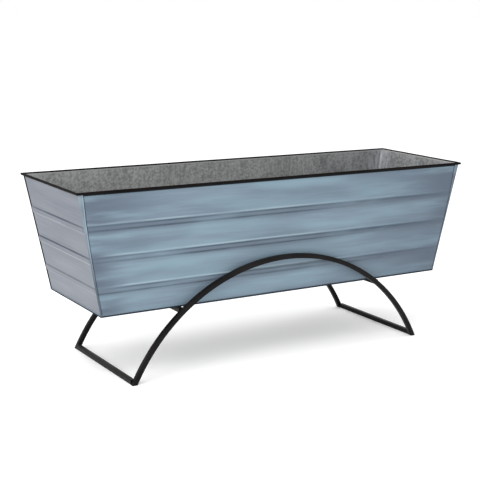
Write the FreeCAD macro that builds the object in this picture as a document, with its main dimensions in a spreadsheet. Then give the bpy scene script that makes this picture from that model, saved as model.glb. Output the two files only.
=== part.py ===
import FreeCAD, Part

import math
import os

import Sketcher

# Flower trough of folded sheet metal, resting on a stand of two bent arches.
# Millimetres, +Z up, X along the trough, Y towards its back. The origin is on
# the floor under the middle of the trough.
#
# The stand is square bar: two arches, a foot bar between their feet at each
# end, and two crossbars between them that carry the trough. The trough is a
# floor pan with a shallow lip, four ribbed walls that lean outwards and stand
# inside that lip, a lap strip down each corner, and a wire ring that the top
# edges of the walls are rolled around.

DIMENSIONS = (
    # Stand
    ("bar_side", 9.5),          # side of the square bar
    ("bar_corner", 0.6),        # bevel along its edges
    ("foot_span", 684.0),       # length over the feet of an arch
    ("arch_rise", 216.0),       # height of the top of an arch
    ("stand_depth", 272.0),     # depth over both arches
    ("crossbar_offset", 235.0),  # middle of a crossbar from the middle of the stand
    ("pan_height", 135.5),      # underside of the trough above the floor
    # Trough
    ("sheet", 0.8),             # thickness of the sheet metal
    ("pan_length", 796.0),
    ("pan_depth", 240.0),
    ("pan_lip", 4.5),           # height of the pan's lip
    ("wall_rise", 238.0),       # underside of the pan to the top of the rim
    ("side_lean", 2.89),        # degrees that the front and back lean outwards
    ("end_lean", 11.61),        # degrees that the ends lean outwards
    # Ribs, measured up the wall
    ("rib_low", 44.5),          # lower edge of the lowest rib
    ("rib_pitch", 59.5),
    ("rib_width", 14.0),
    ("rib_flank", 3.0),         # height of each sloping side of a rib
    ("rib_proud", 1.5),         # how far a rib stands out
    # Rolled rim
    ("wire_radius", 1.8),
    ("wire_bend", 3.0),         # radius of the ring's corners
    ("roll_tail", 35.0),        # degrees that the roll goes on past its lowest point
    ("roll_relief", 2.5),       # how far short of a corner a roll ends
    ("edge_gap", 0.02),         # clearance at the edges of a sheet
    # Corner strips
    ("strip_low", 1.8),         # width of a strip at the bottom of the wall
    ("strip_middle", 2.8),      # width half way up
    ("strip_upper", 5.0),       # width three quarters of the way up
    ("strip_high", 10.0),       # width at the rim
    ("strip_gap", 0.4),         # clearance above the lip and below the rim
)

RIB_COUNT = 3
SHEET_NAME = "Sizes"
MARGIN = 20.0  # how far a cutting outline runs past what it cuts


class Size:
    """A value worked out from the sheet, with the expression that gives it."""

    def __init__(self, value, text):
        self.value = value
        self.text = text

    def join(self, sign, other, value):
        return Size(value, "(%s %s %s)" % (self.text, sign, wording(other)))

    def __add__(self, other):
        return self.join("+", other, self.value + number(other))

    def __sub__(self, other):
        return self.join("-", other, self.value - number(other))

    def __mul__(self, other):
        return self.join("*", other, self.value * number(other))

    def __truediv__(self, other):
        return self.join("/", other, self.value / number(other))


def number(term):
    return term.value if isinstance(term, Size) else term


def wording(term):
    return term.text if isinstance(term, Size) else "%r" % term


def trig(name, function, angle):
    value = function(math.radians(angle.value))
    return Size(value, "%s(%s * 1 deg)" % (name, angle.text))


def sine(angle):
    return trig("sin", math.sin, angle)


def cosine(angle):
    return trig("cos", math.cos, angle)


def tangent(angle):
    return trig("tan", math.tan, angle)


def write_sheet(document):
    """Put the dimensions in the spreadsheet and return them as sizes."""
    sheet = document.addObject("Spreadsheet::Sheet", SHEET_NAME)
    sizes = {}
    for row, (alias, value) in enumerate(DIMENSIONS, start=1):
        sheet.set("A%d" % row, str(value))
        sheet.setAlias("A%d" % row, alias)
        sizes[alias] = Size(value, "%s.%s" % (SHEET_NAME, alias))
    return sizes


# Sketching

def origin_plane(body, role):
    for feature in body.Origin.OriginFeatures:
        if feature.Role == role:
            return feature
    raise ValueError("no origin plane " + role)


def new_body(name):
    body = doc.addObject("PartDesign::Body", name)
    body.Label = name
    return body


def new_sketch(body, role, name):
    sketch = body.newObject("Sketcher::SketchObject", name)
    sketch.AttachmentSupport = [(origin_plane(body, role), "")]
    sketch.MapMode = "FlatFace"
    return sketch


def constrain(sketch, size, *parts):
    """Add a constraint with a value that is bound to a size."""
    index = sketch.addConstraint(Sketcher.Constraint(*parts, size.value))
    sketch.setExpression("Constraints[%d]" % index, size.text)


def pin(sketch, geometry, end, across, up):
    """Fix a point of the sketch at a distance across and up from its origin."""
    if number(across) == 0:
        sketch.addConstraint(Sketcher.Constraint("PointOnObject", geometry, end, -2))
    else:
        constrain(sketch, across, "DistanceX", -1, 1, geometry, end)
    if number(up) == 0:
        sketch.addConstraint(Sketcher.Constraint("PointOnObject", geometry, end, -1))
    else:
        constrain(sketch, up, "DistanceY", -1, 1, geometry, end)


def meet(sketch, first, first_end, second, second_end):
    sketch.addConstraint(
        Sketcher.Constraint("Coincident", first, first_end, second, second_end))


def vector(point):
    return FreeCAD.Vector(number(point[0]), number(point[1]), 0)


def draw_lines(sketch, points):
    """Draw a chain of pinned lines and return the numbers of its lines."""
    lines = []
    for start, finish in zip(points, points[1:]):
        line = sketch.addGeometry(Part.LineSegment(vector(start), vector(finish)), False)
        pin(sketch, line, 1, *start)
        if lines:
            meet(sketch, lines[-1], 2, line, 1)
        lines.append(line)
    pin(sketch, lines[-1], 2, *points[-1])
    return lines


def draw_polygon(sketch, corners):
    """Draw a closed outline with every corner pinned."""
    lines = []
    for start, finish in zip(corners, corners[1:] + corners[:1]):
        line = sketch.addGeometry(Part.LineSegment(vector(start), vector(finish)), False)
        pin(sketch, line, 1, *start)
        lines.append(line)
    for line, following in zip(lines, lines[1:] + lines[:1]):
        meet(sketch, line, 2, following, 1)


def draw_rectangle(sketch, length, depth):
    """Draw a rectangle centred on the sketch's origin."""
    x = length.value / 2
    y = depth.value / 2
    corners = [(-x, -y), (x, -y), (x, y), (-x, y)]
    for start, finish in zip(corners, corners[1:] + corners[:1]):
        sketch.addGeometry(Part.LineSegment(vector(start), vector(finish)), False)
    for line in range(4):
        meet(sketch, line, 2, (line + 1) % 4, 1)
        direction = "Horizontal" if line % 2 == 0 else "Vertical"
        sketch.addConstraint(Sketcher.Constraint(direction, line))
    sketch.addConstraint(Sketcher.Constraint("Symmetric", 0, 1, 2, 1, -1, 1))
    constrain(sketch, length, "DistanceX", 0, 1, 0, 2)
    constrain(sketch, depth, "DistanceY", 1, 1, 1, 2)


# Features

def pad(body, sketch, length, side="Symmetric"):
    feature = body.newObject("PartDesign::Pad", sketch.Name + "Pad")
    feature.Profile = sketch
    feature.SideType = side
    feature.Length = length.value
    feature.setExpression("Length", length.text)
    sketch.Visibility = False
    return feature


def pocket_through(body, sketch):
    feature = body.newObject("PartDesign::Pocket", sketch.Name + "Pocket")
    feature.Profile = sketch
    feature.SideType = "Symmetric"
    feature.Type = "ThroughAll"
    return feature


def mirror_in_body(body, feature):
    """Repeat a feature on the other side of the body's YZ plane."""
    mirrored = body.newObject("PartDesign::Mirrored", feature.Name + "Mirrored")
    mirrored.Originals = [feature]
    mirrored.MirrorPlane = (origin_plane(body, "YZ_Plane"), [""])
    body.Tip = mirrored


def bevel_long_edges(body, feature):
    """Bevel the edges that run along a bar."""
    doc.recompute()
    shortest = size["bar_side"].value * 2
    names = []
    for position, edge in enumerate(feature.Shape.Edges, start=1):
        if edge.Length > shortest:
            names.append("Edge%d" % position)
    chamfer = body.newObject("PartDesign::Chamfer", feature.Name + "Bevel")
    chamfer.Base = (feature, names)
    chamfer.Size = size["bar_corner"].value
    chamfer.setExpression("Size", size["bar_corner"].text)


# Stand

def arch(name, middle_y):
    """Square bar bent to a circular arc and cut off level at the floor."""
    half_span = size["foot_span"] / 2
    rise = size["arch_rise"]
    outer = (half_span * half_span + rise * rise) / (rise * 2)
    inner = outer - size["bar_side"]
    drop = outer - rise
    body = new_body(name)
    sketch = new_sketch(body, "XZ_Plane", name + "Outline")
    centre = FreeCAD.Vector(0, -drop.value, 0)
    for radius in (outer, inner):
        angle = math.asin(drop.value / radius.value)
        circle = Part.Circle(centre, FreeCAD.Vector(0, 0, 1), radius.value)
        arc = sketch.addGeometry(Part.ArcOfCircle(circle, angle, math.pi - angle), False)
        sketch.addConstraint(Sketcher.Constraint("PointOnObject", arc, 3, -2))
        sketch.addConstraint(Sketcher.Constraint("PointOnObject", arc, 1, -1))
        sketch.addConstraint(Sketcher.Constraint("PointOnObject", arc, 2, -1))
        constrain(sketch, drop, "DistanceY", arc, 3, -1, 1)
        constrain(sketch, radius, "Radius", arc)
    for end in (1, 2):
        outer_foot = sketch.getPoint(0, end)
        inner_foot = sketch.getPoint(1, end)
        line = sketch.addGeometry(Part.LineSegment(outer_foot, inner_foot), False)
        meet(sketch, line, 1, 0, end)
        meet(sketch, line, 2, 1, end)
    bevel_long_edges(body, pad(body, sketch, size["bar_side"]))
    body.setExpression("Placement.Base.y", middle_y.text)
    return body


def joining_bar(name, middle_x, top):
    """Straight bar that runs from one arch to the other."""
    body = new_body(name)
    sketch = new_sketch(body, "XZ_Plane", name + "Section")
    draw_rectangle(sketch, size["bar_side"], size["bar_side"])
    reach = size["stand_depth"] - size["bar_side"] * 2
    bevel_long_edges(body, pad(body, sketch, reach))
    body.setExpression("Placement.Base.x", middle_x.text)
    body.setExpression("Placement.Base.z", (top - size["bar_side"] / 2).text)
    return body


# Trough

def face_base(pan_size, lean):
    """Middle of the trough to a wall's outer face, level with the pan's underside."""
    return pan_size / 2 - size["sheet"] / cosine(lean)


def wire_height():
    """Wire's centre above the pan's underside."""
    return size["wall_rise"] - size["sheet"] - size["wire_radius"]


def wire_reach(pan_size, lean):
    """Middle of the trough to the wire's centre line."""
    slope = wire_height() * tangent(lean)
    return face_base(pan_size, lean) + slope + size["wire_radius"] / cosine(lean)


def wire_up_wall(lean):
    """Wire's centre measured up the face of a wall."""
    return (wire_height() + size["wire_radius"] * sine(lean)) / cosine(lean)


def stand_on_wall(body, base, lean, turn):
    """Place a body drawn on a wall's inner face, for a wall that is turned about Z."""
    out = base - size["sheet"] * cosine(lean)
    up = size["pan_height"] + size["sheet"] * sine(lean)
    turned = "rotation(vector(0; 0; 1); %d)" % turn
    leaning = "rotation(vector(1; 0; 0); 0 - %s)" % lean.text
    across = "sin(%d deg) * %s" % (turn, out.text)
    along = "cos(%d deg) * %s" % (turn, out.text)
    place = "placement(vector(0 - %s; %s; %s); %s * %s)"
    body.setExpression("Placement", place % (across, along, up.text, turned, leaning))


def face_line(depth, bottom, top):
    """Side view of one face of a ribbed wall, from bottom to top."""
    points = [(depth, bottom)]
    for number_up in range(RIB_COUNT):
        low = size["rib_low"] + size["rib_pitch"] * number_up
        high = low + size["rib_width"]
        proud = size["rib_proud"] if number(depth) == 0 else depth + size["rib_proud"]
        points.append((depth, low))
        points.append((proud, low + size["rib_flank"]))
        points.append((proud, high - size["rib_flank"]))
        points.append((depth, high))
    points.append((depth, top))
    return points


def draw_rolled_profile(sketch, lean):
    """Side view of a wall: ribbed sheet whose top is rolled outwards round the wire."""
    sheet = size["sheet"]
    wire = size["wire_radius"]
    bottom = sheet / cosine(lean)
    top = wire_up_wall(lean)
    outside = draw_lines(sketch, face_line(sheet, bottom, top))
    inside = draw_lines(sketch, face_line(0, bottom, top))
    base = sketch.addGeometry(Part.LineSegment(vector((0, bottom)), vector((sheet, bottom))), False)
    meet(sketch, base, 1, inside[0], 1)
    meet(sketch, base, 2, outside[0], 1)

    centre = (sheet + wire, top)
    tail = size["roll_tail"]
    start = math.radians(-90 - tail.value)
    tail_ends = []
    for radius, side in ((wire, outside), (wire + sheet, inside)):
        circle = Part.Circle(vector(centre), FreeCAD.Vector(0, 0, 1), radius.value)
        arc = sketch.addGeometry(Part.ArcOfCircle(circle, start, math.pi), False)
        meet(sketch, arc, 2, side[-1], 2)
        pin(sketch, arc, 3, *centre)
        constrain(sketch, top - radius * cosine(tail), "DistanceY", -1, 1, arc, 1)
        tail_ends.append(arc)
    end_points = [sketch.getPoint(arc, 1) for arc in tail_ends]
    closing = sketch.addGeometry(Part.LineSegment(*end_points), False)
    meet(sketch, closing, 1, tail_ends[0], 1)
    meet(sketch, closing, 2, tail_ends[1], 1)


def wall(name, pan_size, lean, edge_base, edge_slope, turn):
    """One wall, trimmed to its slanting edges and notched below the rim's corners."""
    top = wire_up_wall(lean)
    notch = top - size["wire_radius"] - size["sheet"] - size["strip_gap"]
    widest = edge_base + edge_slope * top
    body = new_body(name)
    profile = new_sketch(body, "YZ_Plane", name + "Profile")
    draw_rolled_profile(profile, lean)
    pad(body, profile, widest * 2)
    trim = new_sketch(body, "XZ_Plane", name + "Trim")
    draw_polygon(trim, [
        (edge_base, 0),
        (edge_base + edge_slope * notch, notch),
        (widest - size["roll_relief"], notch),
        (widest - size["roll_relief"], top + MARGIN),
        (widest + MARGIN, top + MARGIN),
        (widest + MARGIN, 0),
    ])
    mirror_in_body(body, pocket_through(body, trim))
    stand_on_wall(body, face_base(pan_size, lean), lean, turn)
    return body


def side_edge():
    """Where an end wall's outer face crosses a side wall, at its foot."""
    return face_base(size["pan_length"], size["end_lean"])


def side_edge_slope():
    return cosine(size["side_lean"]) * tangent(size["end_lean"])


def side_wall(name, turn):
    """Front or back wall: it fits between the end walls."""
    inset = size["sheet"] / cosine(size["end_lean"]) + size["edge_gap"]
    edge = side_edge() - inset
    return wall(name, size["pan_depth"], size["side_lean"], edge, side_edge_slope(), turn)


def end_wall(name, turn):
    """End wall: it covers the edges of the front and the back."""
    edge = face_base(size["pan_depth"], size["side_lean"])
    slope = cosine(size["end_lean"]) * tangent(size["side_lean"])
    return wall(name, size["pan_length"], size["end_lean"], edge, slope, turn)


def corner_strip(name, turn):
    """Lap strip on a side wall, flaring towards the rim, that follows the wall's ribs."""
    lean = size["side_lean"]
    bottom = (size["pan_lip"] + size["strip_gap"]) / cosine(lean)
    wire_top = wire_up_wall(lean)
    middle = wire_top / 2
    upper = wire_top * 0.75
    top = wire_top - size["wire_radius"] - size["sheet"] - size["strip_gap"]
    outer_low = side_edge()
    outer_middle = outer_low + side_edge_slope() * middle
    outer_upper = outer_low + side_edge_slope() * upper
    outer_high = outer_low + side_edge_slope() * wire_top
    body = new_body(name)
    profile = new_sketch(body, "YZ_Plane", name + "Profile")
    inside = face_line(size["sheet"], bottom, top)
    outside = face_line(size["sheet"] * 2, bottom, top)
    draw_polygon(profile, inside + outside[::-1])
    pad(body, profile, outer_high, "One side")
    trim = new_sketch(body, "XZ_Plane", name + "Trim")
    draw_polygon(trim, [
        (0, 0),
        (outer_low - size["strip_low"], 0),
        (outer_middle - size["strip_middle"], middle),
        (outer_upper - size["strip_upper"], upper),
        (outer_high - size["strip_high"], wire_top),
        (0, wire_top),
    ])
    draw_polygon(trim, [
        (outer_low, 0),
        (outer_high + MARGIN, 0),
        (outer_high + MARGIN, wire_top),
        (outer_high, wire_top),
    ])
    pocket_through(body, trim)
    stand_on_wall(body, face_base(size["pan_depth"], lean), lean, turn)
    return body


def mirrored_strip(name, source):
    """The same strip on the other end of the trough."""
    mirror = doc.addObject("Part::Mirroring", name)
    mirror.Label = name
    mirror.Source = source
    mirror.Base = FreeCAD.Vector(0, 0, 0)
    mirror.Normal = FreeCAD.Vector(1, 0, 0)
    return mirror


def pan_section(body, name, level, inset):
    """Level outline of the pan's leaning sides, moved in by the sheet if inset."""
    sketch = new_sketch(body, "XY_Plane", name)
    outline = []
    for pan_size, lean in ((size["pan_length"], size["end_lean"]),
                           (size["pan_depth"], size["side_lean"])):
        half = face_base(pan_size, lean) if inset else pan_size / 2
        outline.append((half + tangent(lean) * level) * 2)
    draw_rectangle(sketch, *outline)
    sketch.setExpression("AttachmentOffset.Base.z", wording(level))
    return sketch


def floor_pan(name):
    """Shallow tray with a leaning lip that the walls stand in."""
    body = new_body(name)
    base = pan_section(body, "PanUnderside", size["sheet"] * 0, False)
    brim = pan_section(body, "PanBrim", size["pan_lip"], False)
    outside = body.newObject("PartDesign::AdditiveLoft", "PanOutside")
    outside.Profile = base
    outside.Sections = [brim]
    outside.Ruled = True
    floor = pan_section(body, "PanFloor", size["sheet"] * 1, True)
    mouth = pan_section(body, "PanMouth", size["pan_lip"] + MARGIN, True)
    inside = body.newObject("PartDesign::SubtractiveLoft", "PanInside")
    inside.Profile = floor
    inside.Sections = [mouth]
    inside.Ruled = True
    body.setExpression("Placement.Base.z", size["pan_height"].text)
    return body


def rim_wire(name):
    """Closed ring of round wire with rounded corners."""
    body = new_body(name)
    half_x = wire_reach(size["pan_length"], size["end_lean"])
    half_y = wire_reach(size["pan_depth"], size["side_lean"])
    bend = size["wire_bend"]
    path = new_sketch(body, "XY_Plane", "WirePath")
    draw_rounded_path(path, half_x, half_y, bend)
    section = new_sketch(body, "YZ_Plane", "WireSection")
    circle = Part.Circle(FreeCAD.Vector(half_y.value, 0, 0), FreeCAD.Vector(0, 0, 1),
                         size["wire_radius"].value)
    section.addGeometry(circle, False)
    pin(section, 0, 3, half_y, 0)
    constrain(section, size["wire_radius"], "Radius", 0)
    section.setExpression("AttachmentOffset.Base.z", "0 - %s" % (half_x - bend).text)
    pipe = body.newObject("PartDesign::AdditivePipe", "WireRing")
    pipe.Profile = section
    pipe.Spine = path
    body.setExpression("Placement.Base.z", (size["pan_height"] + wire_height()).text)
    return body


def draw_rounded_path(sketch, half_x, half_y, bend):
    """Rounded rectangle centred on the origin, starting along its back edge."""
    x = half_x.value
    y = half_y.value
    r = bend.value
    straights = [((-x + r, y), (x - r, y)), ((x, y - r), (x, -y + r)),
                 ((x - r, -y), (-x + r, -y)), ((-x, -y + r), (-x, y - r))]
    centres = [(x - r, y - r), (x - r, -y + r), (-x + r, -y + r), (-x + r, y - r)]
    for side, (ends, centre) in enumerate(zip(straights, centres)):
        sketch.addGeometry(Part.LineSegment(*[vector(end) for end in ends]), False)
        circle = Part.Circle(vector(centre), FreeCAD.Vector(0, 0, 1), r)
        start = math.radians(-90 * side)
        sketch.addGeometry(Part.ArcOfCircle(circle, start, start + math.pi / 2), False)
    for side in range(4):
        line = side * 2
        arc = line + 1
        following = (line + 2) % 8
        sketch.addConstraint(Sketcher.Constraint("Tangent", line, 2, arc, 2))
        sketch.addConstraint(Sketcher.Constraint("Tangent", arc, 1, following, 1))
        direction = "Horizontal" if side % 2 == 0 else "Vertical"
        sketch.addConstraint(Sketcher.Constraint(direction, line))
        if side > 0:
            sketch.addConstraint(Sketcher.Constraint("Equal", 1, arc))
    constrain(sketch, bend, "Radius", 1)
    sketch.addConstraint(Sketcher.Constraint("Symmetric", 0, 1, 4, 1, -1, 1))
    constrain(sketch, half_x, "DistanceX", -1, 1, 2, 1)
    constrain(sketch, half_y, "DistanceY", -1, 1, 0, 1)


def check(items):
    """Stop if any object failed or any sub-part is not one valid solid."""
    for item in doc.Objects:
        if "Invalid" in item.State or "Error" in item.State:
            raise RuntimeError("%s failed: %s" % (item.Name, item.State))
    for item in items:
        shape = item.Shape
        if shape.isNull() or not shape.isValid() or len(shape.Solids) != 1:
            raise RuntimeError("%s is not one valid solid" % item.Label)


def report_volumes(items):
    for item in items:
        print("%-22s %10.1f mm3" % (item.Label, item.Shape.Volume))


doc = FreeCAD.newDocument("RaisedTrough")
size = write_sheet(doc)
doc.recompute()

arch_middle = (size["stand_depth"] - size["bar_side"]) / 2
foot_middle = (size["foot_span"] - size["bar_side"]) / 2
foot_top = size["bar_side"]
crossbar_middle = size["crossbar_offset"]
crossbar_top = size["pan_height"]
front_left_strip = corner_strip("front_left_strip", 180)
back_right_strip = corner_strip("back_right_strip", 0)
sub_parts = [
    arch("front_arch", arch_middle * -1),
    arch("back_arch", arch_middle),
    joining_bar("left_foot_bar", foot_middle * -1, foot_top),
    joining_bar("right_foot_bar", foot_middle, foot_top),
    joining_bar("left_crossbar", crossbar_middle * -1, crossbar_top),
    joining_bar("right_crossbar", crossbar_middle, crossbar_top),
    floor_pan("floor_pan"),
    side_wall("front_wall", 180),
    side_wall("back_wall", 0),
    end_wall("left_wall", 90),
    end_wall("right_wall", -90),
    front_left_strip,
    mirrored_strip("front_right_strip", front_left_strip),
    back_right_strip,
    mirrored_strip("back_left_strip", back_right_strip),
    rim_wire("rim_wire"),
]
doc.recompute()
check(sub_parts)
report_volumes(sub_parts)

os.makedirs("parts", exist_ok=True)
for sub_part in sub_parts:
    sub_part.Shape.exportStep("parts/%s.step" % sub_part.Label)
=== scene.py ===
import math

import bmesh
import bpy
from mathutils import Matrix, Vector, noise


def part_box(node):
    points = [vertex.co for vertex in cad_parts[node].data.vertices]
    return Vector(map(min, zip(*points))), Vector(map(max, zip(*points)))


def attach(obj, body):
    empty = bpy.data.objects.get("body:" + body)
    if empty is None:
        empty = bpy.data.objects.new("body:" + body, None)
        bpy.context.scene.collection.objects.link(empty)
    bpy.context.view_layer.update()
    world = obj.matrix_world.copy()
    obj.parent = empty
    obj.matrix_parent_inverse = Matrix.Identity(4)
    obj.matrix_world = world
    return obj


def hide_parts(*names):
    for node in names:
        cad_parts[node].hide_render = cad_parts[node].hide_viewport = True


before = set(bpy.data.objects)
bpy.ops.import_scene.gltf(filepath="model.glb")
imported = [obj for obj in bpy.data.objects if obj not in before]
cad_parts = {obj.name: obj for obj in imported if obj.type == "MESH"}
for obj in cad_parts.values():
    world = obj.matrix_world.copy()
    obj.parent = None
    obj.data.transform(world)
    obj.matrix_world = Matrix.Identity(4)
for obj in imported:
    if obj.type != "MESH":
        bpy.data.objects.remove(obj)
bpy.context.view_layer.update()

# Flower trough of painted sheet metal on a stand of square black bar. The
# numbers below are the CAD model's own, in metres; heights come from its boxes.

SHEET = 0.0008
SIDE_LEAN = math.radians(2.89)
END_LEAN = math.radians(11.61)
PAN_LENGTH = 0.796
PAN_DEPTH = 0.240
PAN_LIP = 0.0045
PAN_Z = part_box("floor_pan")[0].z
RIB_COUNT = 3
RIB_LOW = 0.0445
RIB_PITCH = 0.0595
RIB_WIDTH = 0.014
RIB_FLANK = 0.003
RIB_PROUD = 0.0015
LAST_RIB_TOP = RIB_LOW + (RIB_COUNT - 1) * RIB_PITCH + RIB_WIDTH
WIRE = 0.0018
RIM_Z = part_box("rim_wire")[0].z + WIRE
RING_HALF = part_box("rim_wire")[1].xy - Vector((WIRE, WIRE))
ROLL_TAIL = math.radians(35)
STRIP_LOW = 0.0018
STRIP_MIDDLE = 0.0028
STRIP_UPPER = 0.0050
STRIP_HIGH = 0.0100
BAR = 0.0095
ARCH_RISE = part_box("front_arch")[1].z
ARCH_HALF_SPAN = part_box("front_arch")[1].x

# Details that the CAD model leaves plain, in metres.

MITRE_GAP = 0.0001
EDGE_GAP = 0.00002
RIB_END_GAP = 0.0015
RIB_END_FADE = 0.007
SHEET_WAVE = 0.0004
CALM_EDGE = 0.04
CALM_FOOT = 0.03
STRIP_WAVE = 0.0003
LIP_GAP = 0.0004
ROLL_WAVE = 0.00022
ROLL_CALM = 0.05
ROLL_LOOSE = 0.002
ROLL_GAP = 0.0004
EDGE_INSETS = (0.0, 0.001, 0.002, 0.0035, 0.005, 0.007, 0.009)
WALL_STEP = 0.012
ROLL_STEP = 0.006
FIRST_LEVEL = 0.010
LEVEL_GAP = 0.004
FLAT_RISE = 0.0035
RIB_RISE = 0.0005
PAN_CORNER = 0.0016
PAN_FOLD = 0.0012
PAN_BORDER = 0.030
BAR_CORNER = 0.0010

# How finely curves are divided, how near points weld, and which edges stay sharp.

ROLL_PARTS = 30
CORNER_PARTS = 4
BAR_CORNER_PARTS = 3
ARCH_PARTS = 160
BAR_PARTS = 24
WELD = 1e-6
SHARP_EDGE = math.radians(35)


def smooth(t):
    """0 below 0, 1 above 1, with a smooth rise between."""
    t = min(1.0, max(0.0, t))
    return t * t * t * (t * (6 * t - 15) + 10)


# Materials

class Shader:
    """Builds the nodes of one material."""

    def __init__(self, name):
        self.material = bpy.data.materials.new(name)
        self.material.use_nodes = True
        self.tree = self.material.node_tree
        self.surface = self.tree.nodes["Principled BSDF"]

    def feed(self, socket, value):
        if isinstance(value, bpy.types.NodeSocket):
            self.tree.links.new(value, socket)
        else:
            socket.default_value = value

    def node(self, kind, settings=None, inputs=None):
        made = self.tree.nodes.new(kind)
        for key, value in (settings or {}).items():
            setattr(made, key, value)
        for key, value in (inputs or {}).items():
            self.feed(made.inputs[key], value)
        return made

    def math(self, operation, *values):
        made = self.node("ShaderNodeMath", {"operation": operation})
        for socket, value in zip(made.inputs, values):
            self.feed(socket, value)
        return made.outputs[0]

    def ramp(self, value, low, high, out_low=0.0, out_high=1.0):
        """Smooth change from out_low to out_high as value goes from low to high."""
        made = self.node("ShaderNodeMapRange", {"interpolation_type": "SMOOTHSTEP"}, {
            "Value": value, "From Min": low, "From Max": high,
            "To Min": out_low, "To Max": out_high})
        return made.outputs[0]

    def mix(self, amount, first, second):
        made = self.node("ShaderNodeMix", {"data_type": "RGBA"})
        self.feed(made.inputs[0], amount)
        self.feed(made.inputs[6], first)
        self.feed(made.inputs[7], second)
        return made.outputs[2]

    def noise(self, vector, scale, detail=3.0, roughness=0.55, offset=(0, 0, 0)):
        """Noise that repeats about `scale` times a metre along each axis."""
        mapped = self.node("ShaderNodeMapping", None, {
            "Vector": vector, "Scale": scale, "Location": offset})
        made = self.node("ShaderNodeTexNoise", None, {
            "Vector": mapped.outputs[0], "Scale": 1.0, "Detail": detail,
            "Roughness": roughness})
        return made.outputs["Fac"]

    def bump(self, height, distance, strength=1.0):
        made = self.node("ShaderNodeBump", None, {
            "Height": height, "Distance": distance, "Strength": strength})
        self.feed(self.surface.inputs["Normal"], made.outputs[0])

    def set(self, **inputs):
        for key, value in inputs.items():
            self.feed(self.surface.inputs[key.replace("_", " ")], value)


def colour(red, green, blue):
    return (red, green, blue, 1.0)


SIDE_BASE = colour(0.146, 0.194, 0.248)
SIDE_LIGHT = colour(0.184, 0.272, 0.330)
# The sides' dark tone, for washes and for painted shade.
SIDE_WASH_AND_SHADE = colour(0.081, 0.108, 0.148)
# The end walls' greyer tones are painted reflection of the white surroundings seen at a grazing
# angle.
END_BASE = colour(0.136, 0.151, 0.182)
END_LIGHT = colour(0.166, 0.184, 0.212)
END_WASH = colour(0.094, 0.105, 0.137)
STRIP_LIGHT = colour(0.180, 0.242, 0.282)
WORN = colour(0.42, 0.46, 0.49)
DARK_LINE = colour(0.030, 0.040, 0.058)
PAN_LINE = colour(0.016, 0.021, 0.030)
UNDER_RIM = colour(0.010, 0.010, 0.011)
# Painted highlight where a raised edge catches the light: the side ribs' upper flanks and the lap
# strips' inner edges.
PAINTED_HIGHLIGHT = colour(0.270, 0.350, 0.400)
# Painted reflection of the floor along the end ribs' lower flanks.
PALE_LINE = colour(0.245, 0.258, 0.280)
BLACK_DEEP = colour(0.0040, 0.0032, 0.0032)
BLACK_SOFT = colour(0.0090, 0.0076, 0.0074)
BLACK_GRAIN = colour(0.040, 0.036, 0.035)
BLACK_RUBBED = colour(0.07, 0.07, 0.07)
ZINC_DARK = colour(0.17, 0.175, 0.17)
ZINC_PALE = colour(0.37, 0.38, 0.375)
# Painted shade: darker zinc tones for the +X end of the inside.
ZINC_SHADED_DARK = colour(0.125, 0.128, 0.132)
ZINC_SHADED_PALE = colour(0.315, 0.320, 0.325)
ZINC_BRIGHT = colour(0.46, 0.47, 0.50)
ZINC_RIM_DARK = colour(0.25, 0.26, 0.25)
ZINC_RIM_PALE = colour(0.46, 0.47, 0.46)
SOLDER = colour(0.62, 0.63, 0.65)
FLOOR_LOW = colour(0.86, 0.86, 0.86)
FLOOR_HIGH = colour(0.90, 0.90, 0.90)
WHITE = colour(1.0, 1.0, 1.0)

# Bands painted along each rib: from and to above the rib's lower edge, softness,
# strength towards the wall's +x and -x ends, and tone.
# Side walls: painted shade below each rib and on its lower flank, dark washes on its crown, and
# painted shade just under a painted highlight along its upper flank.
SIDE_RIBS = [(-0.0060, 0.0040, 0.0045, 0.60, 0.45, SIDE_WASH_AND_SHADE),
             (0.0010, 0.0105, 0.0025, 0.75, 0.90, SIDE_WASH_AND_SHADE),
             (-0.0008, 0.0030, 0.0014, 0.70, 0.15, DARK_LINE),
             (0.0050, 0.0112, 0.0028, 0.00, 0.50, DARK_LINE),
             (0.0086, 0.0114, 0.0010, 0.75, 0.60, DARK_LINE),
             (0.0124, 0.0148, 0.0009, 0.90, 0.25, PAINTED_HIGHLIGHT)]
# End walls: a dark band on the crown, painted shade along the upper flank and a painted reflection
# of the floor along the lower flank.
END_RIBS = [(0.0050, 0.0105, 0.0020, 0.35, 0.35, END_WASH),
            (0.0112, 0.0140, 0.0009, 0.90, 0.90, DARK_LINE),
            (0.0000, 0.0026, 0.0010, 0.90, 0.90, PALE_LINE)]

# How far below a rib its bands may start, and where along the wall they reach
# their strengths.
RIB_MARGIN = 0.015
RIB_PLUS_X, RIB_MINUS_X = 0.06, -0.26

# Ramps over metres along, up or in from an edge: from, to and the strength at each,
# 0 and 1 if none is given.
RIB_GATHER = (0.10, -0.35, 0.0, 0.12)
END_RIB_FADE = (0.07, 0.11, 0.55, 1.0)
CORNER_WASH = (0.004, 0.075, 0.95, 0.0)
HIGH_WASH = (0.02, 0.20, 0.85, 0.0)
HIGH_WASH_RISE = (0.12, 0.20)
FAR_SHADE = (-0.10, -0.40, 0.0, 0.80)
FAR_SHADE_RISE = (0.04, 0.15, 1.2, 0.5)
END_WASH_RISE = (0.06, 0.22, 0.0, 0.32)
SEAM_LINE = (0.0010, 0.0026, 0.80, 0.0)
PLUS_X_LINE = (0.0065, 0.0090, 0.97, 0.0)
MINUS_X_LINE = (0.0010, 0.0032, 1.0, 0.0)
MINUS_X_LINE_RISE = (0.06, 0.20, 0.85, 0.15)
STRIP_HIGHLIGHT = (0.0010, 0.0022, 0.85, 0.0)
STRIP_SHADE = (0.06, 0.14, 0.75, 0.0)
PAN_SHADE = (0.0034, 0.0042, 0.95, 0.0)
ZINC_SHADING = (-0.05, 0.42)
CORNER_BRIGHT = (0.004, 0.055, 0.75, 0.0)
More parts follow.
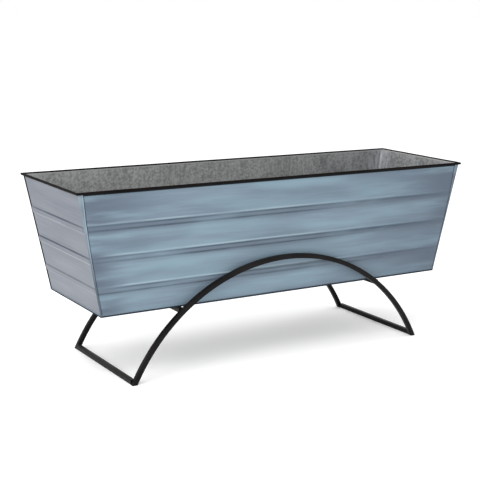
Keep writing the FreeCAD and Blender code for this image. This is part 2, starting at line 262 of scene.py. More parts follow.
SOLDER_LINE = (0.0018, 0.0034, 0.85, 0.0)

# Shade under the rim: how far below the wire's centre it starts, on each kind of wall.
RIM_SHADE = {"side": 0.0057, "end": 0.0040}
RIM_SHADE_FADE = 0.0010
RIM_SHADE_STRENGTH = 0.95


def rib_place(shader, up):
    """Height above the lower edge of the rib in reach, and 1 where there is one."""
    start = RIB_LOW - RIB_MARGIN
    turns = shader.math("DIVIDE", shader.math("SUBTRACT", up, start), RIB_PITCH)
    place = shader.math("MULTIPLY_ADD", shader.math("FRACT", turns), RIB_PITCH, -RIB_MARGIN)
    below_last = shader.math("LESS_THAN", up, start + RIB_COUNT * RIB_PITCH)
    above_first = shader.math("GREATER_THAN", up, start)
    return place, shader.math("MULTIPLY", below_last, above_first)


def band(shader, value, low, high, soft):
    """1 where value lies between low and high, fading over `soft`."""
    rise = shader.ramp(value, low - soft, low + soft)
    fall = shader.ramp(value, high - soft, high + soft, 1.0, 0.0)
    return shader.math("MULTIPLY", rise, fall)


def rib_bands(shader, uv, across, up, tint, ribs, edge):
    """Washes, painted shade and painted highlights along the ribs, uneven in strength."""
    place, on_rib = rib_place(shader, up)
    along = shader.noise(uv, (3.6, 17.0, 1.0), 3.0, 0.55, (2.2, 5.0, 0))
    along = shader.math("ADD", along, shader.ramp(across, *RIB_GATHER))
    varied = shader.ramp(along, 0.34, 0.60, 0.25, 1.0)
    if edge == "end":
        varied = shader.math("MULTIPLY", varied, shader.ramp(up, *END_RIB_FADE))
    for low, high, soft, plus_x, minus_x, tone in ribs:
        mask = shader.math("MULTIPLY", band(shader, place, low, high, soft), on_rib)
        strength = shader.ramp(across, RIB_PLUS_X, RIB_MINUS_X, plus_x, minus_x)
        mask = shader.math("MULTIPLY", mask, strength)
        tint = shader.mix(shader.math("MULTIPLY", mask, varied), tint, tone)
    return tint


def side_edges(shader, across, up, tint, cloud, wash_and_shade):
    """Washes at the corners and high up, painted shade towards -x, and a dark line by each strip,
    partly painted shade.
    """
    reach = shader.math("MULTIPLY_ADD", up, SIDE_SLOPE, SIDE_EDGE)
    inset = shader.math("SUBTRACT", reach, shader.math("ABSOLUTE", across))
    width = STRIP_LOW
    for foot, growth in STRIP_LINES:
        line = shader.math("MULTIPLY_ADD", up, growth, foot)
        width = shader.math("MAXIMUM", line, width)
    inset = shader.math("SUBTRACT", inset, width)
    near = shader.ramp(inset, *CORNER_WASH)
    tint = shader.mix(shader.math("MULTIPLY", near, shader.ramp(cloud, 0.68, 0.38)), tint, wash_and_shade)
    high = shader.math("MULTIPLY", shader.ramp(inset, *HIGH_WASH), shader.ramp(up, *HIGH_WASH_RISE))
    tint = shader.mix(shader.math("MULTIPLY", high, shader.ramp(cloud, 0.62, 0.40)), tint, wash_and_shade)
    # Painted shade: the wall darkens towards its -x end, most near its foot, in clouds.
    far = shader.math("MULTIPLY", shader.ramp(across, *FAR_SHADE), shader.ramp(up, *FAR_SHADE_RISE))
    far = shader.math("MULTIPLY", far, shader.ramp(cloud, 0.70, 0.40, 0.55, 1.0))
    tint = shader.mix(far, tint, wash_and_shade)
    # Dark line beside the strip: painted shade cast by its raised edge, together with dark paint
    # gathered in the seam.
    return shader.mix(shader.ramp(inset, *SEAM_LINE), tint, DARK_LINE)


def end_edges(shader, across, up, tint, wash_and_shade):
    """Wash high up, a black line down the +x edge and a dark one low on the -x edge."""
    tint = shader.mix(shader.ramp(up, *END_WASH_RISE), tint, wash_and_shade)
    reach = shader.math("MULTIPLY_ADD", up, END_SLOPE, END_EDGE)
    black = shader.ramp(shader.math("SUBTRACT", reach, across), *PLUS_X_LINE)
    dark = shader.ramp(shader.math("ADD", reach, across), *MINUS_X_LINE)
    dark = shader.math("MULTIPLY", dark, shader.ramp(up, *MINUS_X_LINE_RISE))
    return shader.mix(black, shader.mix(dark, tint, DARK_LINE), UNDER_RIM)


def piece_edges(shader, across, up, tint, cloud, wash_and_shade, edge):
    """Darkened edges of the piece that `edge` names, with painted shade and painted highlights."""
    if edge == "side":
        tint = side_edges(shader, across, up, tint, cloud, wash_and_shade)
    elif edge == "end":
        tint = end_edges(shader, across, up, tint, wash_and_shade)
    elif edge == "strip":
        # Painted highlight along the strip's raised edge; the strip is darker towards its foot.
        tint = shader.mix(shader.ramp(across, *STRIP_HIGHLIGHT), tint, PAINTED_HIGHLIGHT)
        tint = shader.mix(shader.ramp(up, *STRIP_SHADE), tint, DARK_LINE)
    elif edge == "pan":
        tint = shader.mix(shader.ramp(up, *PAN_SHADE), tint, PAN_LINE)
    if edge in RIM_SHADE:
        start = (SIDE_TOP if edge == "side" else END_TOP) - RIM_SHADE[edge]
        rim = shader.ramp(up, start, start + RIM_SHADE_FADE, 0.0, RIM_SHADE_STRENGTH)
        tint = shader.mix(rim, tint, UNDER_RIM)
    return tint


def painted_sheet(name, tones, ribs=(), edge=None):
    """Brushed, distressed paint on sheet metal.

    tones: the base colour, its light streaks and the dark tone for washes and painted shade. ribs:
    bands as in
    SIDE_RIBS. edge: whose edges are darkened or given painted highlights: side, end, strip or pan.
    The UV map gives metres along the piece and up it.
    """
    shader = Shader(name)
    base, light, wash_and_shade = tones
    uv = shader.node("ShaderNodeUVMap").outputs[0]
    split = shader.node("ShaderNodeSeparateXYZ", None, {"Vector": uv})
    across, up = split.outputs[0], split.outputs[1]
    cloud = shader.noise(uv, (4.2, 34.0, 1.0), 3.0, 0.5, (0.37, 0.2, 0))
    patch = shader.noise(uv, (3.0, 15.0, 1.0), 2.0, 0.5, (4.1, 7.7, 0))
    streak = shader.noise(uv, (7.0, 170.0, 1.0), 3.0, 0.6, (1.3, 2.9, 0))
    bristle = shader.noise(uv, (30.0, 1500.0, 1.0), 2.0, 0.6, (8.3, 0.4, 0))
    speck = shader.noise(uv, (420.0, 900.0, 1.0), 2.0, 0.5)

    tint = shader.mix(shader.ramp(cloud, 0.34, 0.68), base, light)
    tint = shader.mix(shader.ramp(streak, 0.42, 0.66, 0.0, 0.50), tint, light)
    cloudy = shader.math("MULTIPLY", shader.ramp(patch, 0.44, 0.70, 0.0, 0.62),
                         shader.ramp(streak, 0.2, 0.6, 0.5, 1.0))
    tint = shader.mix(cloudy, tint, wash_and_shade)
    tint = rib_bands(shader, uv, across, up, tint, ribs, edge)
    worn = shader.math("MULTIPLY", shader.ramp(speck, 0.66, 0.74), shader.ramp(cloud, 0.45, 0.7))
    tint = shader.mix(shader.math("MULTIPLY", worn, 0.30), tint, WORN)
    tint = shader.mix(shader.ramp(bristle, 0.35, 0.75, 0.0, 0.12), tint, light)
    tint = piece_edges(shader, across, up, tint, cloud, wash_and_shade, edge)

    depth = shader.node("ShaderNodeRGBToBW", None, {"Color": tint}).outputs[0]
    shader.set(Base_Color=tint, Specular_IOR_Level=shader.ramp(depth, 0.04, 0.12, 0.0, 0.35),
               Roughness=shader.ramp(streak, 0.2, 0.8, 0.42, 0.58))
    shader.bump(shader.math("MULTIPLY_ADD", bristle, 0.5, streak), 0.00010, 0.40)
    return shader.material


def corner_inset(shader, place):
    """Distance of a point on the inside of a wall from the nearest corner seam."""
    split = shader.node("ShaderNodeSeparateXYZ", None, {"Vector": place})
    up = shader.math("SUBTRACT", split.outputs[2], PAN_Z)
    insets = []
    for axis, pan_size, lean in ((0, PAN_LENGTH, END_LEAN), (1, PAN_DEPTH, SIDE_LEAN)):
        inner = pan_size / 2 - 2 * SHEET
        reach = shader.math("MULTIPLY_ADD", up, math.tan(lean), inner)
        insets.append(shader.math("SUBTRACT", reach, shader.math("ABSOLUTE", split.outputs[axis])))
    return shader.math("MAXIMUM", *insets)


def bare_zinc(name):
    """Galvanised sheet: fine crystals of greys, painted shade darker towards +X, brighter at seams.
    """
    shader = Shader(name)
    place = shader.node("ShaderNodeTexCoord").outputs["Object"]
    warp = shader.node("ShaderNodeTexNoise", None, {"Vector": place, "Scale": 160.0, "Detail": 2.0})
    moved = shader.node("ShaderNodeVectorMath", {"operation": "MULTIPLY_ADD"}, {
        0: warp.outputs["Color"], 1: (0.004, 0.004, 0.004), 2: place})
    cells = shader.node("ShaderNodeTexVoronoi", {"feature": "F1"}, {
        "Vector": moved.outputs[0], "Scale": 260.0, "Randomness": 1.0})
    crystals = shader.node("ShaderNodeSeparateColor", None, {"Color": cells.outputs["Color"]})
    broad = shader.noise(place, (16.0, 16.0, 9.0), 4.0, 0.6)
    runs = shader.noise(place, (190.0, 190.0, 30.0), 3.0, 0.6)
    fine = shader.noise(place, (700.0, 700.0, 700.0), 2.0)
    tone = shader.math("MULTIPLY_ADD", crystals.outputs[0], 0.28,
                       shader.math("MULTIPLY", broad, 0.45))
    tone = shader.math("MULTIPLY_ADD", runs, 0.45, tone)
    along = shader.node("ShaderNodeSeparateXYZ", None, {"Vector": place}).outputs[0]
    # Painted shade: the zinc darkens towards +X, away from the lamps on the left.
    shaded = shader.ramp(along, *ZINC_SHADING)
    dark = shader.mix(shaded, ZINC_DARK, ZINC_SHADED_DARK)
    pale = shader.mix(shaded, ZINC_PALE, ZINC_SHADED_PALE)
    tint = shader.mix(shader.ramp(tone, 0.30, 0.85), dark, pale)
    inset = corner_inset(shader, place)
    bright = shader.math("MULTIPLY", shader.ramp(inset, *CORNER_BRIGHT),
                         shader.ramp(runs, 0.38, 0.60, 0.20, 1.0))
    tint = shader.mix(bright, tint, ZINC_BRIGHT)
    solder = shader.math("MULTIPLY", shader.ramp(inset, *SOLDER_LINE),
                         shader.ramp(runs, 0.30, 0.55, 0.3, 1.0))
    tint = shader.mix(solder, tint, SOLDER)
    shader.set(Base_Color=tint, Metallic=0.45,
               Roughness=shader.math("MULTIPLY_ADD", crystals.outputs[1], 0.15, 0.45))
    shader.bump(shader.math("MULTIPLY_ADD", fine, 0.4, crystals.outputs[2]), 0.00006, 0.30)
    return shader.material


def black_paint(shader, place):
    """Colour, broad noise and bump height of satin black paint with a fine grain."""
    broad = shader.noise(place, (14.0, 14.0, 14.0), 3.0)
    fine = shader.noise(place, (650.0, 650.0, 650.0), 3.0)
    grit = shader.noise(place, (2600.0, 2600.0, 2600.0), 2.0)
    tint = shader.mix(shader.ramp(broad, 0.3, 0.7), BLACK_DEEP, BLACK_SOFT)
    tint = shader.mix(shader.ramp(fine, 0.60, 0.80, 0.0, 0.25), tint, BLACK_GRAIN)
    return tint, broad, shader.math("MULTIPLY_ADD", grit, 0.5, fine)


def black_coat(name):
    """Satin black paint on bar."""
    shader = Shader(name)
    place = shader.node("ShaderNodeTexCoord").outputs["Object"]
    tint, broad, height = black_paint(shader, place)
    shader.set(Base_Color=tint, Specular_IOR_Level=0.09,
               Roughness=shader.ramp(broad, 0.25, 0.75, 0.34, 0.48))
    shader.bump(height, 0.00010, 0.30)
    return shader.material


def rolled_rim(name):
    """Black paint round the roll, and bare zinc below it on the inside of the wall.

    The UV map's second axis is the angle round the roll, in turns from the outside.
    """
    shader = Shader(name)
    uv = shader.node("ShaderNodeUVMap").outputs[0]
    turns = shader.node("ShaderNodeSeparateXYZ", None, {"Vector": uv}).outputs[1]
    place = shader.node("ShaderNodeTexCoord").outputs["Object"]
    black, broad, height = black_paint(shader, place)
    ragged = shader.noise(place, (45.0, 45.0, 45.0), 4.0)
    fine = shader.noise(place, (700.0, 700.0, 700.0), 3.0)
    bare = shader.ramp(shader.math("MULTIPLY_ADD", ragged, 0.05, turns), 0.540, 0.560)
    rubbed = shader.mix(shader.ramp(fine, 0.68, 0.78, 0.0, 0.2), black, BLACK_RUBBED)
    zinc = shader.mix(fine, ZINC_RIM_DARK, ZINC_RIM_PALE)
    shader.set(Base_Color=shader.mix(bare, rubbed, zinc), Specular_IOR_Level=0.02,
               Metallic=shader.math("MULTIPLY", bare, 0.45),
               Roughness=shader.ramp(broad, 0.2, 0.8, 0.42, 0.54))
    shader.bump(height, 0.00010, 0.30)
    return shader.material


# Meshes

# Places on a mesh's list of materials.
OUTSIDE, INSIDE, ROLL = 0, 1, 2

# Turns given to the foot of the roll's inside, well past the painted part.
INSIDE_TURNS = 0.68


class Mesh:
    """Collects points and faces, then becomes one object."""

    def __init__(self):
        self.points = []
        self.faces = []
        self.kinds = []
        self.uvs = []

    def add_points(self, points):
        first = len(self.points)
        self.points.extend(points)
        return list(range(first, len(self.points)))

    def face(self, corners, uvs, kind=OUTSIDE):
        self.faces.append(corners)
        self.kinds.append(kind)
        self.uvs.extend(uvs)

    def sheet(self, rows, uv_rows, kind=OUTSIDE, closed=False):
        """Quads between rows of points; a closed sheet joins each row's ends."""
        for low, high, uv_low, uv_high in zip(rows, rows[1:], uv_rows, uv_rows[1:]):
            count = len(low)
            for n in range(count if closed else count - 1):
                after = (n + 1) % count
                self.face((low[n], low[after], high[after], high[n]),
                          (uv_low[n], uv_low[n + 1], uv_high[n + 1], uv_high[n]), kind)

    def cap(self, rows, uv_rows, kind=OUTSIDE):
        """Closes the first and the last row with one face each."""
        for end in (0, -1):
            count = len(rows[end])
            self.face(tuple(rows[end]), uv_rows[end][:count], kind)

    def build(self, name, materials, body, node):
        """One smooth-shaded object on `body`, in place of the CAD's `node`."""
        data = bpy.data.meshes.new(name)
        data.from_pydata([tuple(point) for point in self.points], [], self.faces)
        for material in materials:
            data.materials.append(material)
        data.polygons.foreach_set("material_index", self.kinds)
        layer = data.uv_layers.new(name="UVMap")
        layer.data.foreach_set("uv", [value for uv in self.uvs for value in uv])
        shape = bmesh.new()
        shape.from_mesh(data)
        bmesh.ops.remove_doubles(shape, verts=shape.verts, dist=WELD)
        bmesh.ops.recalc_face_normals(shape, faces=shape.faces)
        shape.to_mesh(data)
        shape.free()
        data.polygons.foreach_set("use_smooth", [True] * len(data.polygons))
        data.set_sharp_from_angle(angle=SHARP_EDGE)
        piece = bpy.data.objects.new(name, data)
        bpy.context.scene.collection.objects.link(piece)
        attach(piece, body)
        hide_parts(node)


# Trough

class Wall:
    """A leaning wall: turns (x along it, out of its outer face, up it) into a point."""

    def __init__(self, turn, pan_size, lean, edge, slope, ring, press):
        self.turn = Matrix.Rotation(math.radians(turn), 3, "Z")
        self.base = face_base(pan_size, lean)
        self.lean = lean
        self.edge = edge
        self.slope = slope
        self.ring_along, self.ring_out = ring
        self.press, self.press_length = press
        self.wire_up = up_wall(lean)
        self.bottom = SHEET / math.cos(lean)
        self.notch = self.wire_up - WIRE - SHEET - ROLL_GAP

    def outward(self, out, up):
        return self.base + out * math.cos(self.lean) + up * math.sin(self.lean)

    def point(self, x, out, up):
        z = PAN_Z + up * math.cos(self.lean) - out * math.sin(self.lean)
        return self.turn @ Vector((x, self.outward(out, up), z))

    def half(self, up):
        return self.edge + self.slope * up


def face_base(pan_size, lean):
    """Distance from the trough's middle to the foot of a wall's outer face."""
    return pan_size / 2 - SHEET / math.cos(lean)


def up_wall(lean):
    """The rim wire's centre, measured up a wall's face."""
    return (RIM_Z - PAN_Z + WIRE * math.sin(lean)) / math.cos(lean)


END_EDGE = face_base(PAN_DEPTH, SIDE_LEAN)
END_SLOPE = math.cos(END_LEAN) * math.tan(SIDE_LEAN)
SIDE_EDGE = face_base(PAN_LENGTH, END_LEAN)
SIDE_SLOPE = math.cos(SIDE_LEAN) * math.tan(END_LEAN)
SIDE_TOP = up_wall(SIDE_LEAN)
END_TOP = up_wall(END_LEAN)

# Width of a corner strip: the largest of three straight lines, as (at the foot,
# growth per metre up).
STRIP_LINES = ((STRIP_LOW, (STRIP_MIDDLE - STRIP_LOW) * 2 / SIDE_TOP),
               (3 * STRIP_MIDDLE - 2 * STRIP_UPPER, (STRIP_UPPER - STRIP_MIDDLE) * 4 / SIDE_TOP),
               (4 * STRIP_UPPER - 3 * STRIP_HIGH, (STRIP_HIGH - STRIP_UPPER) * 4 / SIDE_TOP))


def rib_height(up, inset):
    """How far the ribs stand out; they die away towards a corner."""
    height = 0.0
    for count in range(RIB_COUNT):
        low = RIB_LOW + RIB_PITCH * count
        rise = smooth((up - low) / RIB_FLANK)
        fall = smooth((low + RIB_WIDTH - up) / RIB_FLANK)
        height += RIB_PROUD * rise * fall
    return height * smooth((inset - RIB_END_GAP) / RIB_END_FADE)


def sheet_out(wall, x, up, seed):
    """How far the sheet stands out: its ribs and slight waves."""
    inset = wall.half(up) - abs(x)
    calm = smooth(inset / CALM_EDGE) * smooth((up - wall.bottom) / CALM_FOOT)
    calm *= smooth((wall.notch - up) / CALM_EDGE)
    wave = noise.noise(Vector((x * 5.0 + seed, up * 9.0, seed)))
    wave += 0.5 * noise.noise(Vector((x * 14.0, up * 22.0 + seed, seed)))
    return rib_height(up, inset) + SHEET_WAVE * calm * wave


def wall_levels(wall):
    """Heights up a wall where it needs points: close together on the ribs."""
    levels = [wall.bottom, wall.bottom + LEVEL_GAP]
    up = FIRST_LEVEL
    while up < wall.notch - LEVEL_GAP:
        levels.append(up)
        place = (up - RIB_LOW + RIB_FLANK / 2) % RIB_PITCH
        near = place < RIB_WIDTH + RIB_FLANK and up < LAST_RIB_TOP + RIB_FLANK
        up += RIB_RISE if near else FLAT_RISE
    return levels + [wall.notch]


def wall_stations(half):
    """Distances along a wall, from edge to edge, closer together at the edges."""
    left = [-half + inset for inset in EDGE_INSETS]
    inner = half - EDGE_INSETS[-1]
    count = max(2, round(2 * inner / WALL_STEP))
    middle = [inner * (2 * n / count - 1) for n in range(1, count)]
    return left + middle + [-x for x in reversed(left)]


def add_skins(mesh, wall, seed):
    """The ribbed sheet up to the roll: outside, inside and the edges between."""
    foot = wall.half(0)
    inner_foot = foot - EDGE_INSETS[-1]
    outer, inner, marks = [], [], []
    for up in wall_levels(wall):
        half = wall.half(up)
        stations = [x * half / foot if abs(x) < inner_foot
                    else math.copysign(half - (foot - abs(x)), x)
                    for x in wall_stations(foot)]
        outs = [sheet_out(wall, x, up, seed) for x in stations]
        outer.append(mesh.add_points([wall.point(x, out, up) for x, out in zip(stations, outs)]))
        inner.append(mesh.add_points([wall.point(x, out - SHEET, up)
                                      for x, out in zip(stations, outs)]))
        marks.append([(x, up) for x in stations])
    mesh.sheet(outer, marks, OUTSIDE)
    mesh.sheet(inner, marks, INSIDE)
    for side in (0, -1):
        edges = [[a[side], b[side]] for a, b in zip(outer, inner)]
        mesh.sheet(edges, [[mark[side], mark[side]] for mark in marks], OUTSIDE)
    for end in (0, -1):
        mesh.sheet([outer[end], inner[end]], [marks[end], marks[end]], INSIDE)


def roll_outline(wall):
    """Section of the roll as (out, up, turns round it), clockwise from below."""
    start, finish = math.pi, -math.pi / 2 - ROLL_TAIL
    angles = [start + (finish - start) * n / ROLL_PARTS for n in range(ROLL_PARTS + 1)]
    outline = [(0.0, wall.notch, 0.5), (0.0, wall.wire_up - ROLL_GAP, 0.5)]
    for angle in angles:
        outline.append((WIRE + WIRE * math.cos(angle), wall.wire_up + WIRE * math.sin(angle), 0.5))
    radius = WIRE + SHEET
    for angle in reversed(angles):
        outline.append((WIRE + radius * math.cos(angle),
                        wall.wire_up + radius * math.sin(angle), angle / math.tau))
    outline.append((-SHEET, wall.notch, INSIDE_TURNS))
    return outline


def add_roll(mesh, wall, seed):
    """The top edge rolled round the wire, pressed thinner towards its mitred ends."""
    outline = roll_outline(wall)
    count = round(2 * wall.ring_along / ROLL_STEP)
    rows, marks = [], []
    for n in range(count + 1):
        share = 2 * n / count - 1
        inset = wall.ring_along * (1 - abs(share))
        wave = ROLL_WAVE * smooth(inset / ROLL_CALM)
        drop = wave * (1 + noise.noise(Vector((share * 4.0, seed, 3.0))))
        pull = wave * (1 + noise.noise(Vector((share * 5.0, seed, 8.0))))
        press = wall.press * smooth(1 - inset / wall.press_length)
        row = []
        for out, up, _ in outline:
            loose = smooth((up - wall.notch) / ROLL_LOOSE)
            out += loose * (press * (WIRE - out) - pull)
            up += loose * (press * (wall.wire_up - up) - drop)
            reach = wall.ring_along + wall.outward(out, up) - wall.ring_out - MITRE_GAP
            row.append(wall.point(share * reach, out, up))
        rows.append(mesh.add_points(row))
        x = share * wall.ring_along
        marks.append([(x, turn) for _, _, turn in outline] + [(x, outline[0][2])])
    mesh.sheet(rows, marks, ROLL, closed=True)
    mesh.cap(rows, marks, ROLL)


def build_wall(name, wall, paint, seed):
    """A wall's ribbed sheet and the roll along its top."""
    mesh = Mesh()
    add_skins(mesh, wall, seed)
    add_roll(mesh, wall, seed)
    mesh.build(name + "_sheet", [paint, ZINC, RIM], "trough", name)


def build_strip(name, wall, side, seed, paint):
    """Lap strip down a corner, following the ribs, with rounded long edges."""
    mesh = Mesh()
    # Outline of a long edge: distance in from it, share of the sheet's thickness.
    ends = [(0.0, 0.0), (0.0, 0.35), (0.0002, 0.75), (0.0006, 1.0)]
    foot = (PAN_LIP + LIP_GAP) / math.cos(wall.lean)
    levels = [foot] + [up for up in wall_levels(wall) if up > foot + 0.0002]
    rows, marks = [], []
    for up in levels:
        width = max(start + growth * up for start, growth in STRIP_LINES)
        width += STRIP_WAVE * noise.noise(Vector((up * 40.0, seed, side)))
        middle = [(width * share, 1.0) for share in (0.4, 0.5, 0.6)]
        across = ends + middle + [(width - inset, rise) for inset, rise in reversed(ends)]
        row = []
        for inset, rise in across:
            x = side * (SIDE_EDGE + SIDE_SLOPE * up - inset)
            row.append(wall.point(x, rib_height(up, inset) + SHEET * rise, up))
        rows.append(mesh.add_points(row))
        marks.append([(width - inset, up) for inset, rise in across])
    mesh.sheet(rows, marks)
    mesh.cap(rows, marks)
    backs = [[row[0], row[-1]] for row in rows]
    mesh.sheet(backs, [[mark[0], mark[-1]] for mark in marks])
    mesh.build(name + "_lap", [paint], "trough", name)


def rectangle_ring(half_x, half_y, radius, z):
    """Points round a level rectangle with rounded corners."""
    points = []
    for quarter, (sx, sy) in enumerate(((1, 1), (-1, 1), (-1, -1), (1, -1))):
        centre = Vector((sx * (half_x - radius), sy * (half_y - radius), z))
        for n in range(CORNER_PARTS + 1):
            angle = math.pi / 2 * (quarter + n / CORNER_PARTS)
            points.append(centre + radius * Vector((math.cos(angle), math.sin(angle), 0)))
    return points


def build_pan():
    """Floor with a lip folded up round the feet of the walls."""
    mesh = Mesh()
    # Section of the pan's edge as (outwards, up): outside to the brim, then inside.
    section = [(-PAN_BORDER, 0.0), (-PAN_FOLD, 0.0)]
    for n in range(1, 5):
        angle = math.pi / 8 * n
        section.append((-PAN_FOLD + PAN_FOLD * math.sin(angle),
                        PAN_FOLD - PAN_FOLD * math.cos(angle)))
    section += [(0.0, 0.0025), (0.00005, PAN_LIP - 0.0004), (-0.00020, PAN_LIP - 0.0001)]
    brim = len(section) - 1
    section += [(-SHEET * 0.7, PAN_LIP - 0.0001), (-SHEET, PAN_LIP - 0.0004),
                (-SHEET, SHEET + 0.0006), (-SHEET - 0.0006, SHEET), (-PAN_BORDER, SHEET)]
    rows, marks = [], []
    for out, up in section:
        half_x = PAN_LENGTH / 2 + out + up * math.tan(END_LEAN)
        half_y = PAN_DEPTH / 2 + out + up * math.tan(SIDE_LEAN)
        ring = rectangle_ring(half_x, half_y, PAN_CORNER + max(0, -out - 0.001), PAN_Z + up)
        rows.append(mesh.add_points(ring))
        marks.append([(point.x + point.y, up) for point in ring + ring[:1]])
    mesh.sheet(rows[:brim + 1], marks[:brim + 1], OUTSIDE, closed=True)
    mesh.sheet(rows[brim:], marks[brim:], INSIDE, closed=True)
    mesh.face(tuple(rows[0]), marks[0][:-1], OUTSIDE)
    mesh.face(tuple(rows[-1]), marks[-1][:-1], INSIDE)
    mesh.build("floor_pan_sheet", [PAINT_PAN, ZINC], "trough", "floor_pan")


# Stand

def bar_section():
    """Square with rounded corners, as two distances from the bar's middle."""
    points = []
    middle = BAR / 2 - BAR_CORNER
    for quarter, (sx, sy) in enumerate(((1, 1), (-1, 1), (-1, -1), (1, -1))):
        for n in range(BAR_CORNER_PARTS + 1):
            angle = math.pi / 2 * (quarter + n / BAR_CORNER_PARTS)
            points.append((sx * middle + BAR_CORNER * math.cos(angle),
                           sy * middle + BAR_CORNER * math.sin(angle)))
    return points


def build_bar(name, rings):
    """A bar through rings of points, closed at both ends."""
    mesh = Mesh()
    rows, marks = [], []
    for n, ring in enumerate(rings):
        rows.append(mesh.add_points(ring))
        marks.append([(n / (len(rings) - 1), k / len(ring)) for k in range(len(ring) + 1)])
    mesh.sheet(rows, marks, closed=True)
    mesh.cap(rows, marks)
    mesh.build(name + "_bar", [BLACK], "stand", name)


def build_arch(name, middle_y):
    """Square bar bent to a circular arc that ends on the floor."""
    outer = (ARCH_HALF_SPAN ** 2 + ARCH_RISE ** 2) / (2 * ARCH_RISE)
    drop = outer - ARCH_RISE
    rings = []
    for n in range(ARCH_PARTS + 1):
        share = n / ARCH_PARTS
        ring = []
        for radial, across in bar_section():
            radius = outer - BAR / 2 + radial
            start = math.asin(drop / radius)
            angle = start + (math.pi - 2 * start) * share
            ring.append(Vector((radius * math.cos(angle), middle_y + across,
                                radius * math.sin(angle) - drop)))
        rings.append(ring)
    build_bar(name, rings)


def build_joining_bar(name):
    """Straight bar from the front to the back of its CAD box."""
    low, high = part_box(name)
    middle = (low + high) / 2
    rings = []
    for n in range(BAR_PARTS + 1):
        y = low.y + (high.y - low.y) * n / BAR_PARTS
        rings.append([Vector((middle.x + a, y, middle.z + b)) for a, b in bar_section()])
    build_bar(name, rings)


# The pieces

ZINC = bare_zinc("galvanised")
RIM = rolled_rim("rim_roll")
BLACK = black_coat("bar_black")
PAINT_SIDE = painted_sheet("paint_side", (SIDE_BASE, SIDE_LIGHT, SIDE_WASH_AND_SHADE), SIDE_RIBS, "side")
PAINT_END = painted_sheet("paint_end", (END_BASE, END_LIGHT, END_WASH), END_RIBS, "end")
PAINT_PAN = painted_sheet("paint_pan", (SIDE_BASE, SIDE_LIGHT, SIDE_WASH_AND_SHADE), edge="pan")
# Shaded copy of the strip paint, darker and without the highlight line: painted shade on the
# front-right and back-left strips.
PAINT_STRIP_SHADED = painted_sheet("paint_strip_shaded", (SIDE_WASH_AND_SHADE, SIDE_BASE, DARK_LINE))
PAINT_STRIP = painted_sheet("paint_strip", (SIDE_BASE, STRIP_LIGHT, END_WASH), edge="strip")

# press: how much thinner the roll gets at its ends, and over what length.
SIDE = dict(pan_size=PAN_DEPTH, lean=SIDE_LEAN, slope=SIDE_SLOPE,
            edge=SIDE_EDGE - SHEET / math.cos(END_LEAN) - EDGE_GAP,
            ring=(RING_HALF.x, RING_HALF.y), press=(0.12, 0.040))
END = dict(pan_size=PAN_LENGTH, lean=END_LEAN, slope=END_SLOPE, edge=END_EDGE,
           ring=(RING_HALF.y, RING_HALF.x), press=(0.12, 0.015))
front = Wall(180, **SIDE)
back = Wall(0, **SIDE)
build_wall("front_wall", front, PAINT_SIDE, 1.7)
build_wall("back_wall", back, PAINT_SIDE, 6.1)
build_wall("left_wall", Wall(90, **END), PAINT_END, 3.3)
build_wall("right_wall", Wall(-90, **END), PAINT_END, 9.4)
build_strip("front_left_strip", front, 1, 1.0, PAINT_STRIP)
build_strip("front_right_strip", front, -1, 2.0, PAINT_STRIP_SHADED)
build_strip("back_left_strip", back, -1, 3.0, PAINT_STRIP_SHADED)
build_strip("back_right_strip", back, 1, 4.0, PAINT_STRIP)
build_pan()
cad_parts["rim_wire"].data.materials[0] = BLACK

arch_y = (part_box("front_arch")[0].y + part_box("front_arch")[1].y) / 2
build_arch("front_arch", arch_y)
build_arch("back_arch", -arch_y)
for bar in ("left_foot_bar", "right_foot_bar", "left_crossbar", "right_crossbar"):
    build_joining_bar(bar)


# Stage

FLOOR_HALF = 40.0
FLOOR_GLOW = 0.25
CAMERA_PLACE = (-1.22316, -1.92391, 0.70341)
CAMERA_SENSOR = 36.0
CAMERA_LENS = 83.84

# The camera's yaw, pitch and roll, in degrees.
CAMERA_ANGLES = (-31.871, -11.979, 0.905)


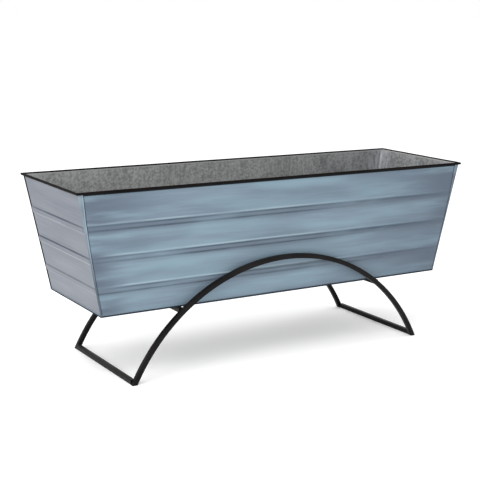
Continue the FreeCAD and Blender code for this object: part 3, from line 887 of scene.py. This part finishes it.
def build_floor():
    """Large pale floor, lit faintly from below like a light table."""
    shader = Shader("studio_floor")
    place = shader.node("ShaderNodeTexCoord").outputs["Object"]
    soft = shader.noise(place, (3.0, 3.0, 3.0), 2.0)
    shader.set(Base_Color=shader.mix(soft, FLOOR_LOW, FLOOR_HIGH), Roughness=0.8,
               Emission_Color=WHITE, Emission_Strength=FLOOR_GLOW)
    shape = bmesh.new()
    bmesh.ops.create_grid(shape, x_segments=8, y_segments=8, size=FLOOR_HALF)
    data = bpy.data.meshes.new("studio_floor")
    shape.to_mesh(data)
    shape.free()
    data.materials.append(shader.material)
    floor = bpy.data.objects.new("studio_floor", data)
    bpy.context.scene.collection.objects.link(floor)


def add_light(name, place, target, size, power):
    """Area light at `place`, aimed at `target`."""
    data = bpy.data.lights.new(name, "AREA")
    data.shape = "RECTANGLE"
    data.size, data.size_y = size
    data.energy = power
    lamp = bpy.data.objects.new(name, data)
    lamp.location = place
    lamp.rotation_euler = (Vector(target) - Vector(place)).to_track_quat("-Z", "Y").to_euler()
    bpy.context.scene.collection.objects.link(lamp)


def add_camera():
    """Camera in front of the trough, to its left and above it."""
    yaw, pitch, roll = (math.radians(angle) for angle in CAMERA_ANGLES)
    ahead = Vector((-math.sin(yaw) * math.cos(pitch), math.cos(yaw) * math.cos(pitch),
                    math.sin(pitch)))
    right_hand = Vector((math.cos(yaw), math.sin(yaw), 0.0))
    up = right_hand.cross(ahead)
    rolled_right = math.cos(roll) * right_hand + math.sin(roll) * up
    rolled_up = -math.sin(roll) * right_hand + math.cos(roll) * up
    turn = Matrix((rolled_right, rolled_up, -ahead)).transposed().to_4x4()
    data = bpy.data.cameras.new("camera")
    data.sensor_width = CAMERA_SENSOR
    data.lens = CAMERA_LENS
    camera = bpy.data.objects.new("camera", data)
    camera.matrix_world = Matrix.Translation(CAMERA_PLACE) @ turn
    bpy.context.scene.collection.objects.link(camera)
    bpy.context.scene.camera = camera


build_floor()
add_light("left", (-3.0, -0.6, 1.6), (0.0, 0.0, 0.2), (1.6, 1.6), 30)
add_light("top", (0.2, 0.2, 3.0), (0.0, 0.0, 0.0), (2.4, 1.6), 25)
add_light("near_left", (-0.8, -0.7, 1.3), (-0.2, 0.1, 0.3), (0.7, 0.7), 7)
world = bpy.data.worlds.new("studio")
world.use_nodes = True
world.node_tree.nodes["Background"].inputs["Color"].default_value = WHITE
world.node_tree.nodes["Background"].inputs["Strength"].default_value = 1.0
bpy.context.scene.world = world
bpy.context.scene.view_settings.view_transform = "Standard"
add_camera()
